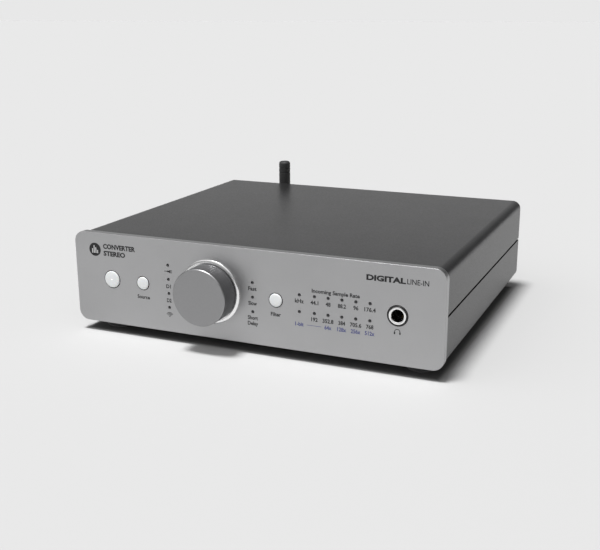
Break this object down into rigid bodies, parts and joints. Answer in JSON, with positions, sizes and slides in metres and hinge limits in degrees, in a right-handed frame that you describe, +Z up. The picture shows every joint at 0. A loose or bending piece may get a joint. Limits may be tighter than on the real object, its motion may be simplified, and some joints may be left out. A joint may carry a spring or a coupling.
{
  "type": "desktop dac",
  "caption": "Low rectangular audio converter box with a thick rounded metal front panel, a large volume knob, round buttons, indicator lights, a headphone socket and a rear antenna.",
  "frame": {"origin": "on the surface it stands on, under the middle of its whole box", "axes": "+Z up, -Y towards the user in front of the controls, +X to the right of that user"},
  "size_m": [0.215, 0.2152, 0.0707],
  "materials": {
    "silver_aluminium": "fine satin anodised",
    "grey_steel": "satin dark grey powder coat",
    "chrome": "polished",
    "nickel": "nickel plated",
    "gold_plate": "polished gold plate",
    "white_cap": "gloss white",
    "black_plastic": "fine matte black moulding",
    "black_rubber": "soft matte rubber",
    "smoked_guide": "dark smoked clear plastic",
    "circuit_board": "green solder mask",
    "brass_shaft": "turned",
    "white_lamp": "clear white lamp",
    "grey_ribbon": "flat cable sheath"
  },
  "bodies": {
    "casing": {"antenna_collar": "black_plastic", "antenna_socket": "gold_plate", "base_tray": "grey_steel", "coax_in_block": "black_plastic", "coax_in_sleeve_lower": "gold_plate", "coax_in_sleeve_upper": "gold_plate", "dac_chip_left": "black_plastic", "dac_chip_right": "black_plastic", "dc_socket": "black_plastic", "encoder_body": "nickel", "encoder_nut": "nickel", "faceplate": "silver_aluminium", "filter_light_guide": "smoked_guide", "filter_switch": "black_plastic", "foot_front_left": "black_rubber", "foot_front_right": "black_rubber", "foot_rear_left": "black_rubber", "foot_rear_right": "black_rubber", "front_board": "circuit_board", "front_bracket": "black_plastic", "headphone_ferrule": "chrome", "headphone_jack": "black_plastic", "knob_ring": "chrome", "line_out_block": "black_plastic", "line_out_sleeve_lower": "gold_plate", "line_out_sleeve_upper": "gold_plate", "main_board": "circuit_board", "optical_socket_lower": "black_plastic", "optical_socket_upper": "black_plastic", "power_lamp": "white_lamp", "power_switch": "black_plastic", "rate_light_guide": "smoked_guide", "rear_panel": "grey_steel", "rear_screw_lower_left": "nickel", "rear_screw_lower_right": "nickel", "rear_screw_upper_left": "nickel", "rear_screw_upper_right": "nickel", "ribbon_cable": "grey_ribbon", "rocker_frame": "black_plastic", "source_light_guide": "smoked_guide", "source_switch": "black_plastic", "top_cover": "grey_steel", "usb_insert": "black_plastic", "usb_shell": "nickel", "wireless_module": "nickel", "xlr_insert_left": "black_plastic", "xlr_insert_right": "black_plastic", "xlr_shell_left": "black_plastic", "xlr_shell_right": "black_plastic"},
    "knob": {"volume_knob": "silver_aluminium", "encoder_shaft": "brass_shaft"},
    "power_key": {"power_button": "white_cap"},
    "source_key": {"source_button": "white_cap"},
    "filter_key": {"filter_button": "white_cap"},
    "rocker": {"power_rocker": "black_plastic"},
    "upper_flap": {"optical_flap_upper": "black_plastic"},
    "lower_flap": {"optical_flap_lower": "black_plastic"},
    "antenna_base": {"antenna_elbow": "black_plastic", "antenna_pin": "nickel"},
    "antenna_stub": {"antenna_rod": "black_rubber"}
  },
  "joints": [
    {"name": "volume_turn", "type": "hinge", "parent": "casing", "child": "knob", "pos_m": [-0.02165, -0.09475, 0.032], "axis": [0, 1, 0], "continuous": true},
    {"name": "power_press", "type": "slide", "parent": "casing", "child": "power_key", "axis": [0, 1, 0], "range_m": [0, 0.0005], "stiffness_N_per_m": 1500, "springref_m": -0.0004},
    {"name": "source_press", "type": "slide", "parent": "casing", "child": "source_key", "axis": [0, 1, 0], "range_m": [0, 0.0005], "stiffness_N_per_m": 1500, "springref_m": -0.0004},
    {"name": "filter_press", "type": "slide", "parent": "casing", "child": "filter_key", "axis": [0, 1, 0], "range_m": [0, 0.0005], "stiffness_N_per_m": 1500, "springref_m": -0.0004},
    {"name": "rocker_tilt", "type": "hinge", "parent": "casing", "child": "rocker", "pos_m": [-0.092, 0.08975, 0.032], "axis": [-1, 0, 0], "range_deg": [0, 16]},
    {"name": "upper_flap_swing", "type": "hinge", "parent": "casing", "child": "upper_flap", "pos_m": [-0.009, 0.08835, 0.0429], "axis": [-1, 0, 0], "range_deg": [0, 80], "stiffness_Nm_per_rad": 0.00015, "springref_deg": -17.19},
    {"name": "lower_flap_swing", "type": "hinge", "parent": "casing", "child": "lower_flap", "pos_m": [-0.009, 0.08835, 0.0279], "axis": [-1, 0, 0], "range_deg": [0, 80], "stiffness_Nm_per_rad": 0.00015, "springref_deg": -17.19},
    {"name": "antenna_swivel", "type": "hinge", "parent": "casing", "child": "antenna_base", "pos_m": [-0.068, 0.10365, 0.028], "axis": [0, 1, 0], "range_deg": [-90, 90]},
    {"name": "antenna_tilt", "type": "hinge", "parent": "antenna_base", "child": "antenna_stub", "pos_m": [-0.068, 0.10365, 0.028], "axis": [-1, 0, 0], "range_deg": [0, 90]}
  ]
}
